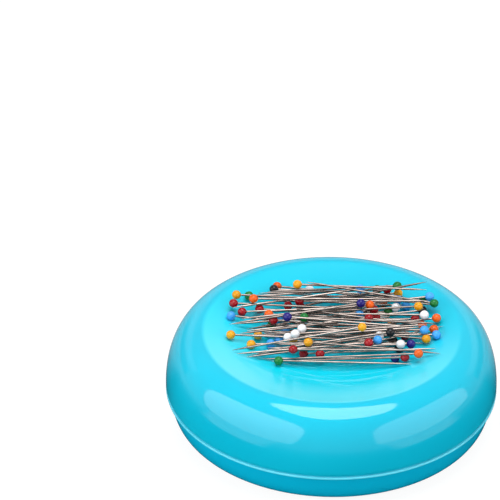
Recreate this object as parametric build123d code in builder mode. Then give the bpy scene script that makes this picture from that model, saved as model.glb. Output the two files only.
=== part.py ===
from build123d import *
import math
import os

import numpy as np

# Round magnetic pin bowl with a heap of ball-head pins on its dish.
# Millimetres, Z up, origin at the middle of the foot on the table.

# Outer form of the bowl
BOWL_DIAMETER = 110.0
RIM_HEIGHT = 36.0
CREST_DIAMETER = 85.4
CREST_ROUND = 5.0
DISH_DEPTH = 7.0
SEAM_HEIGHT = 14.8
SKIRT_TAPER_HEIGHT = 1.2
SKIRT_TAPER = 0.6
RIM_FULLNESS_SHARE = 0.6

# Base shell: a thin flange that the skirt stands on, and a rounded side set in under it
FLANGE_HEIGHT = 0.5
FLANGE_EDGE_ROUND = 0.3
BASE_STEP = 1.5
BASE_FLAT_DIAMETER = 66.0
BASE_FULLNESS_SHARE = 0.8
FOOT_DIAMETER = 62.0
FOOT_WIDTH = 3.0
FOOT_HEIGHT = 0.8

# Moulded walls and the snap joint between the shells
WALL = 2.4
TONGUE_HEIGHT = 4.0
TONGUE_CHAMFER = 0.5
JOINT_CLEARANCE = 0.15
BEAD_DEPTH = 0.3
BEAD_LENGTH = 1.2
BEAD_HEIGHT = 1.6

# Ferrite ring magnet, the collar round it and the ribs that it seats on
MAGNET_DIAMETER = 60.0
MAGNET_WIDTH = 14.0
MAGNET_THICKNESS = 10.0
MAGNET_CHAMFER = 0.6
MAGNET_CLEARANCE = 0.35
MAGNET_DROP = 0.6
COLLAR_WALL = 1.6
COLLAR_LENGTH = 8.0
CRUSH_RIB_COUNT = 6
CRUSH_RIB_WIDTH = 1.2
CRUSH_RIB_CLEARANCE = 0.1
SEAT_RIB_COUNT = 12
SEAT_RIB_WIDTH = 1.2

# Foam ring and the posts of the base that press it against the magnet
FOAM_THICKNESS = 3.0
FOAM_INSET = 2.0
PRESS_RING_WALL = 1.8
PRESS_RIB_COUNT = 8
PRESS_RIB_WIDTH = 1.4

# Ball-head pins
PIN_LENGTH = 45.0
PIN_DIAMETER = 0.68
PIN_POINT_LENGTH = 4.5
HEAD_DIAMETER = 3.0
HEAD_BORE_DEPTH = 1.7
HEAD_BORE_CLEARANCE = 0.02
PIN_SIDES = 6
HEAD_SIDES = 7
HEAD_RING_ANGLES = (45.0, 90.0, 135.0, 162.0)
PIN_GAP = 0.06
PIN_SAMPLE_STEP = 0.3
BALANCE_SHARE = 0.44

# The heap is laid out as seen from the front and this angle above the table
SIGHT_ANGLE = 34.3
SIGHT_STEP = 0.25
SIGHT_TRIES = 48

# How the heap settles: each pin starts a little above the one before it, and all sink at once,
# each as far as it was lifted and a little further
HEAP_LIFT = 0.2
HEAP_PRESS = 3.0
SETTLE_STEPS = 400
CLEAR_STEPS = 250
PULL_SHARE = 0.14
PUSH_SHARE = 1.3
PARALLEL_LIMIT = 1e-6

# Each row: colour, head's place across and up in that view as shares of the bowl's radius, and how
# far the shaft turns, in degrees, from straight across the dish. Rows are laid down in this order.
LOWER_PIN_SHARES = (
    ("green", 0.556, 0.735, -6.0),
    ("sky", 0.553, 0.546, -4.0),
    ("black", 0.549, 0.665, 4.0),
    ("green", -0.51, 0.74, 1.0),
    ("red", 0.495, 0.608, -2.0),
    ("sky", 0.45, 0.714, -4.0),
    ("red", 0.443, 0.498, 1.0),
    ("yellow", -0.44, 0.502, 6.0),
    ("black", 0.404, 0.436, 2.0),
    ("yellow", 0.4, 0.78, 6.0),
    ("sky", 0.397, 0.722, 0.0),
    ("white", -0.384, 0.523, 2.0),
    ("green", -0.365, 0.549, -3.0),
    ("orange", 0.303, 0.716, 9.0),
    ("sky", -0.365, 0.465, -2.0),
    ("yellow", 0.364, 0.584, 5.0),
    ("black", 0.364, 0.48, -2.0),
    ("orange", -0.34, 0.81, -6.0),
    ("green", 0.34, 0.662, 5.0),
    ("sky", -0.319, 0.469, 3.0),
    ("sky", -0.312, 0.623, -4.0),
    ("sky", -0.281, 0.554, 4.0),
    ("black", 0.28, 0.548, 8.0),
    ("green", 0.27, 0.8, 6.0),
    ("yellow", -0.234, 0.477, -1.0),
    ("white", -0.141, 0.787, -10.0),
    ("red", -0.212, 0.694, 2.0),
    ("red", -0.169, 0.396, 1.0),
)
MIDDLE_PIN_SHARES = (
    ("red", -0.07, 0.393, 20.0),
    ("red", -0.263, 0.684, -6.0),
    ("orange", 0.635, 0.618, 2.0),
    ("sky", 0.628, 0.518, -1.0),
    ("sky", -0.616, 0.616, 0.0),
    ("orange", 0.609, 0.56, 3.0),
    ("red", 0.439, 0.381, 0.0),
    ("yellow", -0.609, 0.49, 3.0),
    ("red", -0.598, 0.685, 2.0),
    ("sky", 0.59, 0.755, 1.0),
    ("yellow", -0.583, 0.747, -1.0),
    ("yellow", 0.566, 0.493, -6.0),
    ("yellow", 0.521, 0.694, 3.0),
    ("orange", 0.521, 0.402, -2.0),
    ("yellow", -0.483, 0.444, 6.0),
    ("navy", 0.475, 0.456, 0.0),
    ("red", -0.441, 0.66, -1.0),
    ("red", -0.547, 0.651, 4.0),
    ("white", 0.414, 0.462, 3.0),
    ("white", 0.387, 0.676, 8.0),
    ("orange", -0.384, 0.618, 3.0),
    ("navy", 0.38, 0.376, 0.5),
    ("black", -0.358, 0.791, -4.0),
    ("red", 0.332, 0.796, 8.0),
    ("green", -0.315, 0.347, -1.0),
    ("green", 0.394, 0.816, 5.0),
    ("red", 0.264, 0.617, 11.0),
    ("red", 0.254, 0.664, 12.0),
    ("yellow", -0.215, 0.819, -7.0),
    ("white", -0.185, 0.527, 3.0),
)
UPPER_PIN_SHARES = (
    ("sky", 0.159, 0.652, 8.0),
    ("white", 0.556, 0.635, -3.0),
    ("orange", 0.547, 0.596, -5.0),
    ("sky", 0.277, 0.476, 9.0),
    ("red", -0.354, 0.592, -5.0),
    ("black", 0.352, 0.53, 9.0),
    ("white", 0.286, 0.508, 11.0),
    ("white", -0.26, 0.496, 4.0),
    ("orange", 0.228, 0.693, 12.0),
    ("red", 0.221, 0.612, 12.0),
    ("red", 0.221, 0.465, 5.0),
    ("white", -0.219, 0.516, 8.0),
    ("red", -0.204, 0.716, -8.0),
    ("navy", 0.173, 0.705, 11.0),
    ("sky", 0.169, 0.796, 11.0),
    ("green", -0.169, 0.608, -3.0),
    ("yellow", -0.141, 0.463, -3.0),
    ("navy", -0.271, 0.615, -2.0),
    ("orange", -0.478, 0.724, 3.0),
)
LOOSE_PIN_SHARES = (
    ("green", 0.616, 0.715, -10.0),
    ("yellow", 0.18, 0.555, 4.0),
    ("red", -0.23, 0.408, 1.0),
)
COLOURS = ("red", "orange", "yellow", "green", "sky", "navy", "white", "black")

# One length that every cut runs past the faces that it opens
OVERRUN = 1.0

# Radii and levels that follow from the sizes above
bowl_radius = BOWL_DIAMETER / 2
crest_radius = CREST_DIAMETER / 2
widest_height = SEAM_HEIGHT + SKIRT_TAPER_HEIGHT
flange_bottom = SEAM_HEIGHT - FLANGE_HEIGHT
floor_height = RIM_HEIGHT - DISH_DEPTH
dish_ball_radius = (crest_radius**2 + DISH_DEPTH**2) / (2 * DISH_DEPTH)
dish_ball_height = floor_height + dish_ball_radius
skirt_bore_radius = bowl_radius - WALL
base_radius = bowl_radius - BASE_STEP
base_flat_radius = BASE_FLAT_DIAMETER / 2
tongue_radius = skirt_bore_radius - JOINT_CLEARANCE
base_floor_height = FOOT_HEIGHT + WALL
magnet_radius = MAGNET_DIAMETER / 2
magnet_bore_radius = magnet_radius - MAGNET_WIDTH
magnet_top = floor_height - WALL - MAGNET_DROP
magnet_bottom = magnet_top - MAGNET_THICKNESS
foam_bottom = magnet_bottom - FOAM_THICKNESS
foam_radius = magnet_radius - FOAM_INSET
foam_bore_radius = magnet_bore_radius + FOAM_INSET
foam_middle_radius = (foam_radius + foam_bore_radius) / 2
collar_bore_radius = magnet_radius + MAGNET_CLEARANCE
pin_radius = PIN_DIAMETER / 2
head_radius = HEAD_DIAMETER / 2
head_flat_angle = HEAD_RING_ANGLES[-1]
head_flat_reach = -head_radius * math.cos(math.radians(head_flat_angle))
shaft_start = head_flat_reach - HEAD_BORE_DEPTH
shaft_end = PIN_LENGTH - head_radius


def dish_height(radius):
    """Height of the dish's surface at a distance from the bowl's axis."""
    return dish_ball_height - math.sqrt(dish_ball_radius**2 - radius**2)


def wall_middle(radius):
    """Height half way through the dish's wall, where ribs and the collar root."""
    return dish_height(radius) - WALL / 2


def radial_plane(angle):
    """Upright plane through the bowl's axis, with its X pointing outwards at an angle."""
    across, along = math.cos(math.radians(angle)), math.sin(math.radians(angle))
    return Plane(origin=(0, 0, 0), x_dir=(across, along, 0), z_dir=(along, -across, 0))


def quarter_curve(start, end, fullness_share):
    """Quarter of a rounded outline that leaves start level and reaches end upright."""
    (start_x, start_y), (end_x, end_y) = start, end
    level_handle = (start_x + fullness_share * (end_x - start_x), start_y)
    upright_handle = (end_x, end_y + fullness_share * (start_y - end_y))
    return Bezier(start, level_handle, upright_handle, end)


def snap_ridge(radius, depth, length, height):
    """Three points of a V-shaped ridge or groove on an upright wall."""
    return (
        (radius, height - length / 2),
        (radius + depth, height),
        (radius, height + length / 2),
    )


# Top shell: the dish and the rounded rim in one moulding
dish_arc_angle = math.degrees(math.asin(crest_radius / dish_ball_radius))
bead_level = SEAM_HEIGHT + BEAD_HEIGHT
with BuildPart() as top_shell:
    with BuildSketch(Plane.XZ) as shell_profile:
        with BuildLine():
            CenterArc((0, dish_ball_height), dish_ball_radius, -90, dish_arc_angle)
            quarter_curve((crest_radius, RIM_HEIGHT), (bowl_radius, widest_height), RIM_FULLNESS_SHARE)
            Polyline(
                (bowl_radius, widest_height),
                (bowl_radius - SKIRT_TAPER, SEAM_HEIGHT),
                (skirt_bore_radius, SEAM_HEIGHT),
                *snap_ridge(
                    skirt_bore_radius,
                    BEAD_DEPTH,
                    BEAD_LENGTH,
                    bead_level,
                ),
                (skirt_bore_radius, SEAM_HEIGHT + TONGUE_HEIGHT),
            )
            quarter_curve(
                (crest_radius, RIM_HEIGHT - WALL),
                (skirt_bore_radius, SEAM_HEIGHT + TONGUE_HEIGHT),
                RIM_FULLNESS_SHARE,
            )
            CenterArc((0, dish_ball_height - WALL), dish_ball_radius, -90, dish_arc_angle)
            Line((0, floor_height - WALL), (0, floor_height))
        make_face()
        fillet(shell_profile.vertices().sort_by(Axis.Y)[-1], CREST_ROUND)
    revolve(axis=Axis.Z)

    # Collar that the magnet slips into, with small ribs that grip its side
    collar_bottom = magnet_top - COLLAR_LENGTH
    collar_radius = collar_bore_radius + COLLAR_WALL
    with BuildSketch(Plane.XY.offset(collar_bottom)):
        Circle(collar_radius)
        Circle(collar_bore_radius, mode=Mode.SUBTRACT)
    extrude(amount=wall_middle(collar_bore_radius) - collar_bottom)
    crush_rib_reach = MAGNET_CLEARANCE - CRUSH_RIB_CLEARANCE + COLLAR_WALL / 2
    crush_rib_middle = magnet_radius + CRUSH_RIB_CLEARANCE + crush_rib_reach / 2
    with BuildSketch(Plane.XY.offset(collar_bottom)):
        with PolarLocations(crush_rib_middle, CRUSH_RIB_COUNT, start_angle=180 / SEAT_RIB_COUNT):
            Rectangle(crush_rib_reach, CRUSH_RIB_WIDTH)
    extrude(amount=magnet_top - collar_bottom)

    # Radial ribs whose level edges the magnet seats on
    rib_start, rib_end = magnet_bore_radius, collar_bore_radius + COLLAR_WALL / 2
    for rib in range(SEAT_RIB_COUNT):
        with BuildSketch(radial_plane(rib * 360 / SEAT_RIB_COUNT)):
            with BuildLine():
                Polyline(
                    (rib_start, magnet_top),
                    (rib_end, magnet_top),
                    (rib_end, wall_middle(rib_end)),
                    (rib_start, wall_middle(rib_start)),
                    close=True,
                )
            make_face()
        extrude(amount=SEAT_RIB_WIDTH / 2, both=True)

# Base shell: rounded side, moulded foot, and a tongue that snaps into the top shell
with BuildPart() as base_shell:
    tongue_bore_radius = base_radius - WALL
    tongue_top = SEAM_HEIGHT + TONGUE_HEIGHT - JOINT_CLEARANCE
    foot_radius = FOOT_DIAMETER / 2
    foot_bore_radius = foot_radius - FOOT_WIDTH
    with BuildSketch(Plane.XZ):
        with BuildLine():
            Polyline(
                (0, FOOT_HEIGHT),
                (0, base_floor_height),
                (base_flat_radius - WALL, base_floor_height),
            )
            quarter_curve(
                (base_flat_radius - WALL, base_floor_height),
                (tongue_bore_radius, SEAM_HEIGHT),
                BASE_FULLNESS_SHARE,
            )
            Polyline(
                (tongue_bore_radius, SEAM_HEIGHT),
                (tongue_bore_radius, tongue_top),
                (tongue_radius - TONGUE_CHAMFER, tongue_top),
                (tongue_radius, tongue_top - TONGUE_CHAMFER),
                *reversed(
                    snap_ridge(
                        tongue_radius,
                        BEAD_DEPTH,
                        BEAD_LENGTH,
                        bead_level,
                    )
                ),
                (tongue_radius, SEAM_HEIGHT),
                (bowl_radius, SEAM_HEIGHT),
                (bowl_radius, flange_bottom),
                (base_radius, flange_bottom),
            )
            quarter_curve(
                (base_flat_radius, FOOT_HEIGHT),
                (base_radius, flange_bottom),
                BASE_FULLNESS_SHARE,
            )
            Polyline(
                (base_flat_radius, FOOT_HEIGHT),
                (foot_radius, FOOT_HEIGHT),
                (foot_radius, 0),
                (foot_bore_radius, 0),
                (foot_bore_radius, FOOT_HEIGHT),
                (0, FOOT_HEIGHT),
            )
        make_face()
    revolve(axis=Axis.Z)
    flange_edges = base_shell.edges().filter_by(GeomType.CIRCLE).filter_by_position(Axis.Z, SEAM_HEIGHT, SEAM_HEIGHT)
    fillet(flange_edges.sort_by(SortBy.RADIUS)[-1], FLANGE_EDGE_ROUND)

    # Ring and radial ribs that press the foam up against the magnet
    post_root = base_floor_height - WALL / 2
    with BuildSketch(Plane.XY.offset(post_root)):
        Circle(foam_middle_radius + PRESS_RING_WALL / 2)
        Circle(foam_middle_radius - PRESS_RING_WALL / 2, mode=Mode.SUBTRACT)
    extrude(amount=foam_bottom - post_root)
    with BuildSketch(Plane.XY.offset(post_root)):
        with PolarLocations(foam_middle_radius, PRESS_RIB_COUNT):
            Rectangle(foam_radius - foam_bore_radius, PRESS_RIB_WIDTH)
    extrude(amount=foam_bottom - post_root)

# Ferrite ring magnet
with BuildPart() as ring_magnet:
    with BuildSketch(Plane.XY.offset(magnet_bottom)):
        Circle(magnet_radius)
        Circle(magnet_bore_radius, mode=Mode.SUBTRACT)
    extrude(amount=MAGNET_THICKNESS)
    chamfer(ring_magnet.edges().filter_by(GeomType.CIRCLE), MAGNET_CHAMFER)

# Foam ring that keeps the magnet from rattling
with BuildPart() as foam_ring:
    with BuildSketch(Plane.XY.offset(foam_bottom)):
        Circle(foam_radius)
        Circle(foam_bore_radius, mode=Mode.SUBTRACT)
    extrude(amount=FOAM_THICKNESS)


class Pin:
    """One pin of the heap: its colour, the middle of its head and the way its shaft points."""

    def __init__(self, colour, head, tip):
        self.colour = colour
        self.head = np.array(head)
        self.tip = np.array(tip)

    def place(self):
        """Location whose Z axis runs from the head's middle to the tip."""
        along = self.tip - self.head
        level = (-along[1], along[0], 0)
        return Plane(origin=tuple(self.head), x_dir=level, z_dir=tuple(along)).location


def sight_rows(rows):
    """Arrays from rows of shares: heads across, heads up in the view, level directions of the shafts."""
    across = np.array([row[1] for row in rows]) * bowl_radius
    up = np.array([row[2] for row in rows]) * bowl_radius
    turns = np.radians([row[3] for row in rows])
    ways = np.where(across < 0, 1.0, -1.0)
    level = np.stack([ways * np.cos(turns), ways * np.sin(turns), np.zeros(len(rows))], axis=1)
    return across, up, level


def sight_depth(up, height):
    """How far back a point lies that shows at a place up the view and stands at a height."""
    sight = math.radians(SIGHT_ANGLE)
    return (up - height * math.cos(sight)) / math.sin(sight)


def nearest_shares(first_heads, first_runs, second_heads, second_runs):
    """How far along two straight shafts, from 0 at the head to 1 at the tip, they come closest."""
    between = first_heads - second_heads
    first_square = (first_runs**2).sum(axis=1)
    second_square = (second_runs**2).sum(axis=1)
    cross = (first_runs * second_runs).sum(axis=1)
    first_dot = (first_runs * between).sum(axis=1)
    second_dot = (second_runs * between).sum(axis=1)
    spread = np.maximum(first_square * second_square - cross**2, PARALLEL_LIMIT)
    first = np.clip((cross * second_dot - first_dot * second_square) / spread, 0, 1)
    second = np.clip((cross * first + second_dot) / second_square, 0, 1)
    first = np.clip((cross * second - first_dot) / first_square, 0, 1)
    return first, second


class Heap:
    """Pins that settle together: each is a straight line from its head's middle to its tip."""

    def __init__(self, rows):
        self.across, self.up, self.level = sight_rows(rows)
        self.count = len(rows)
        heights = floor_height + head_radius + HEAP_LIFT * np.arange(self.count)
        self.heads = np.stack([self.across, sight_depth(self.up, heights), heights], axis=1)
        self.tips = self.heads + self.level * shaft_end
        self.one, self.other = np.triu_indices(self.count, 1)

    def push_apart(self, one, one_shares, other, other_shares, reach, moves, touches):
        """Add the moves that bring two sets of points on the pins to at least a reach apart."""
        one_at = self.heads[one] + one_shares[:, None] * (self.tips - self.heads)[one]
        other_at = self.heads[other] + other_shares[:, None] * (self.tips - self.heads)[other]
        gaps = one_at - other_at
        apart = np.sqrt((gaps**2).sum(axis=1))
        near = apart < reach
        push = gaps[near] / apart[near, None] * (reach - apart[near, None]) / 2
        for pins, shares, sign in ((one[near], one_shares[near], 1), (other[near], other_shares[near], -1)):
            weight = (1 - shares) ** 2 + shares**2
            for end, lever in ((0, 1 - shares), (1, shares)):
                np.add.at(moves[end], pins, sign * push * (lever / weight)[:, None])
                np.add.at(touches[end], pins, lever)

    def separate(self):
        """Move every pin off its neighbours, out of the dish's wall and back to its own length."""
        moves = np.zeros((2, self.count, 3))
        touches = np.zeros((2, self.count))
        runs = self.tips - self.heads
        one, other = self.one, self.other
        one_shares, other_shares = nearest_shares(
            self.heads[one], runs[one], self.heads[other], runs[other]
        )
        self.push_apart(one, one_shares, other, other_shares, PIN_DIAMETER + PIN_GAP, moves, touches)
        at_head = np.zeros(len(one))
        for ball, rod in ((one, other), (other, one)):
            along = ((self.heads[ball] - self.heads[rod]) * runs[rod]).sum(axis=1)
            rod_shares = np.clip(along / (runs[rod] ** 2).sum(axis=1), 0, 1)
            reach = head_radius + pin_radius + PIN_GAP
            self.push_apart(ball, at_head, rod, rod_shares, reach, moves, touches)
        self.push_apart(one, at_head, other, at_head, HEAD_DIAMETER + PIN_GAP, moves, touches)
        self.heads += PUSH_SHARE * moves[0] / np.maximum(touches[0], 1)[:, None]
        self.tips += PUSH_SHARE * moves[1] / np.maximum(touches[1], 1)[:, None]
        dish_middle = np.array([0, 0, dish_ball_height])
        for ends, radius in ((self.heads, head_radius), (self.tips, pin_radius)):
            rays = ends - dish_middle
            reach = np.sqrt((rays**2).sum(axis=1))
            limit = dish_ball_radius - radius - PIN_GAP
            ends += rays * (np.minimum(limit / reach, 1) - 1)[:, None]
        runs = self.tips - self.heads
        stretch = (1 - shaft_end / np.sqrt((runs**2).sum(axis=1)))[:, None] * runs / 2
        self.heads += stretch
        self.tips -= stretch

    def settle(self):
        """Let the heap sink onto the dish while each head keeps near its place in the view."""
        mean_falls = (HEAP_LIFT * np.arange(self.count) + HEAP_PRESS) / SETTLE_STEPS
        for step in range(SETTLE_STEPS):
            fall = 2 * mean_falls * (1 - step / SETTLE_STEPS)
            self.heads[:, 2] -= fall
            self.tips[:, 2] -= fall
            self.heads[:, 0] += PULL_SHARE * (self.across - self.heads[:, 0])
            self.heads[:, 1] += PULL_SHARE * (sight_depth(self.up, self.heads[:, 2]) - self.heads[:, 1])
            wanted = self.heads + self.level * shaft_end
            self.tips[:, :2] += PULL_SHARE * (wanted - self.tips)[:, :2]
            self.separate()
        for _ in range(CLEAR_STEPS):
            self.separate()

    def pins(self, rows):
        """The settled pins, in the order of their rows."""
        return [Pin(row[0], head, tip) for row, head, tip in zip(rows, self.heads, self.tips)]


def resting_heights(points, radius, placed):
    """Least height of a round thing's middle over each point, clear of the dish and the placed pins."""
    reach = np.hypot(points[:, 0], points[:, 1])
    free_ball = dish_ball_radius - radius - PIN_GAP
    heights = dish_ball_height - np.sqrt(np.maximum(free_ball**2 - reach**2, 0))
    for pin in placed:
        run = pin.tip - pin.head
        shares = (points - pin.head[:2]) @ run[:2] / (run[:2] @ run[:2])
        nearest = pin.head + np.clip(shares, 0, 1)[:, None] * run
        for middle, spread in ((nearest, pin_radius), (pin.head[None, :], head_radius)):
            clear = radius + spread + PIN_GAP
            apart = np.hypot(points[:, 0] - middle[:, 0], points[:, 1] - middle[:, 1])
            lift = middle[:, 2] + np.sqrt(np.maximum(clear**2 - apart**2, 0))
            heights = np.where(apart < clear, np.maximum(heights, lift), heights)
    return heights


def drop(head_x, head_y, direction, placed):
    """Heights of a pin's head and tip once it lies on what is under it.

    The pin rests on two supports, one each side of its balance point. They are the pair whose
    chord passes highest over that point.
    """
    stations = np.arange(head_radius, shaft_end, PIN_SAMPLE_STEP)
    points = np.array([head_x, head_y]) + stations[:, None] * direction
    needed = resting_heights(points, pin_radius, placed)
    head_needed = resting_heights(np.array([[head_x, head_y]]), head_radius, placed)
    stations = np.concatenate(([0.0], stations))
    needed = np.concatenate((head_needed, needed))
    balance = BALANCE_SHARE * PIN_LENGTH
    near, far = stations <= balance, stations > balance
    near_at, far_at = stations[near][:, None], stations[far][None, :]
    near_height, far_height = needed[near][:, None], needed[far][None, :]
    slopes = (far_height - near_height) / (far_at - near_at)
    over_balance = near_height + slopes * (balance - near_at)
    row, column = np.unravel_index(np.argmax(over_balance), over_balance.shape)
    head_height = near_height[row, 0] - slopes[row, column] * near_at[row, 0]
    return head_height, head_height + slopes[row, column] * shaft_end


def lay_on_top(row, placed):
    """Lay one loose pin on the heap where its head shows nearest to its place in the view."""
    (head_x,), (head_up,), (level,) = sight_rows([row])
    least_miss = math.inf
    for tried_height in floor_height + head_radius + SIGHT_STEP * np.arange(SIGHT_TRIES):
        head_y = sight_depth(head_up, tried_height)
        head_height, tip_height = drop(head_x, head_y, level[:2], placed)
        if abs(head_height - tried_height) < least_miss:
            least_miss = abs(head_height - tried_height)
            tip_x, tip_y = np.array([head_x, head_y]) + shaft_end * level[:2]
            nearest = Pin(row[0], (head_x, head_y, head_height), (tip_x, tip_y, tip_height))
    return nearest


heap_rows = LOWER_PIN_SHARES + MIDDLE_PIN_SHARES + UPPER_PIN_SHARES
settling = Heap(heap_rows)
settling.settle()
heap = settling.pins(heap_rows)
loose_pins = []
for row in LOOSE_PIN_SHARES:
    loose_pins.append(lay_on_top(row, heap + loose_pins))


def ring_points(radius, sides, height):
    """Corners of a level regular polygon round the pin's axis."""
    angles = [side * 2 * math.pi / sides for side in range(sides)]
    return [(radius * math.cos(angle), radius * math.sin(angle), height) for angle in angles]


# A shaft: straight wire with a long fine point
shaft_points = (
    ring_points(pin_radius, PIN_SIDES, shaft_start)
    + ring_points(pin_radius, PIN_SIDES, shaft_end - PIN_POINT_LENGTH)
    + [(0, 0, shaft_end)]
)
# A head: a ball with flat faces, cut off square where the shaft goes in
head_points = [(0, 0, -head_radius)]
for ring_angle in HEAD_RING_ANGLES:
    ring_radius = head_radius * math.sin(math.radians(ring_angle))
    ring_height = -head_radius * math.cos(math.radians(ring_angle))
    head_points += ring_points(ring_radius, HEAD_SIDES, ring_height)
# The blind hole that the shaft sits in
bore_points = ring_points(pin_radius + HEAD_BORE_CLEARANCE, PIN_SIDES, shaft_start)
bore_points += ring_points(pin_radius + HEAD_BORE_CLEARANCE, PIN_SIDES, head_flat_reach + OVERRUN)

pin_groups = [(f"{colour}_pin", [pin for pin in heap if pin.colour == colour]) for colour in COLOURS]
pin_groups += [(f"loose_{pin.colour}_pin", [pin]) for pin in loose_pins]
pin_nodes = []
for name, pins in pin_groups:
    places = [pin.place() for pin in pins]
    with BuildPart() as shafts:
        with Locations(*places):
            ConvexPolyhedron(shaft_points)
    with BuildPart() as heads:
        with Locations(*places):
            ConvexPolyhedron(head_points)
            ConvexPolyhedron(bore_points, mode=Mode.SUBTRACT)
    plural = "s" if len(pins) > 1 else ""
    pin_nodes.append((f"{name}_shaft{plural}", shafts))
    pin_nodes.append((f"{name}_head{plural}", heads))

nodes = [
    ("top_shell", top_shell),
    ("base_shell", base_shell),
    ("ring_magnet", ring_magnet),
    ("foam_ring", foam_ring),
] + pin_nodes

os.makedirs("parts", exist_ok=True)
for name, node in nodes:
    node.part.label = name
    export_step(node.part, f"parts/{name}.step")
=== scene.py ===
"""Looks of a round magnetic pin bowl and the heap of ball-head pins that lies on its dish.

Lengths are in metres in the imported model's frame: Z points up and the foot stands at Z 0.
"""

import logging
import math
from dataclasses import dataclass, field
from enum import Enum
from typing import Any, Callable

import bpy
import numpy as np
from mathutils import Matrix, Vector


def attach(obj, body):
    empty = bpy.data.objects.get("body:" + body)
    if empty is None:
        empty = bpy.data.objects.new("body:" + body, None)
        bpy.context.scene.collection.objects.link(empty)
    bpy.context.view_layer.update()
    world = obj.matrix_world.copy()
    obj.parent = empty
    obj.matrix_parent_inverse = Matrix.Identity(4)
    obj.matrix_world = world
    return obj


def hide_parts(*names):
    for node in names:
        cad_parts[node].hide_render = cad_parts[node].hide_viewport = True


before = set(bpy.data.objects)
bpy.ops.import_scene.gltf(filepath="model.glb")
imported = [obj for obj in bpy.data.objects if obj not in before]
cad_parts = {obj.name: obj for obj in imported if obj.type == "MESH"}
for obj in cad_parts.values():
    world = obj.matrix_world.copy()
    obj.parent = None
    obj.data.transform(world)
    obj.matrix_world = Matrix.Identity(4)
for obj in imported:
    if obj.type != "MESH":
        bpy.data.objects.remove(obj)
log = logging.getLogger("pin_bowl")

IMAGE_SIDE = 500
SENSOR_WIDTH = 36.0
WHITE_LIGHT = (1.0, 1.0, 1.0)
NEARLY_UPRIGHT = 0.9

Pair = tuple[float, float]
Triple = tuple[float, float, float]
Surface = tuple[np.ndarray, list[list[int]]]


class Body(Enum):
    """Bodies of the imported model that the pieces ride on."""

    BOWL = "bowl"
    HEAP = "pin_heap"


class HeadColour(Enum):
    """Plastics that the pins' heads are moulded in, as linear colours."""

    RED = (0.31, 0.001, 0.006)
    ORANGE = (0.78, 0.105, 0.002)
    YELLOW = (0.78, 0.33, 0.004)
    GREEN = (0.004, 0.18, 0.03)
    SKY = (0.045, 0.33, 0.8)
    NAVY = (0.01, 0.005, 0.16)
    WHITE = (0.8, 0.81, 0.84)
    BLACK = (0.003, 0.003, 0.005)

    @property
    def word(self) -> str:
        """The colour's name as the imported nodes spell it."""
        return self.name.lower()


# Shader maths


class Signal:
    """One output of a material's node, with the arithmetic that its values need."""

    def __init__(self, shader: "Shader", socket: bpy.types.NodeSocket | None) -> None:
        """Keep the socket and the shader that it belongs to."""
        self.shader = shader
        self.socket = socket

    def _maths(self, operation: str, first: Any, second: Any) -> "Signal":
        """Add one Math node.

        Args:
            operation: name of the Math node's operation.
            first: value or signal on the left.
            second: value or signal on the right.

        Returns:
            The node's result.
        """
        return self.shader.add("ShaderNodeMath", {"operation": operation}, {0: first, 1: second})

    def __add__(self, other: Any) -> "Signal":
        """Sum of the two."""
        return self._maths("ADD", self, other)

    def __sub__(self, other: Any) -> "Signal":
        """Difference of the two."""
        return self._maths("SUBTRACT", self, other)

    def __rsub__(self, other: Any) -> "Signal":
        """A plain number less the signal."""
        return self._maths("SUBTRACT", other, self)

    def __mul__(self, other: Any) -> "Signal":
        """Product of the two."""
        return self._maths("MULTIPLY", self, other)

    def __pow__(self, other: Any) -> "Signal":
        """The signal raised to a power."""
        return self._maths("POWER", self, other)

    # Sums and products are the same with the plain number on the left.
    __radd__ = __add__
    __rmul__ = __mul__

    def highest(self, other: Any) -> "Signal":
        """The larger of the two."""
        return self._maths("MAXIMUM", self, other)

    def ramp(self, low: float, high: float) -> "Signal":
        """Smooth step of the signal.

        Args:
            low: value at which the result is 0.
            high: value at which the result is 1.

        Returns:
            The signal, eased between the two and held outside them.
        """
        settings = {"interpolation_type": "SMOOTHSTEP", "clamp": True}
        return self.shader.add("ShaderNodeMapRange", settings, {"Value": self, "From Min": low, "From Max": high})


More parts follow.
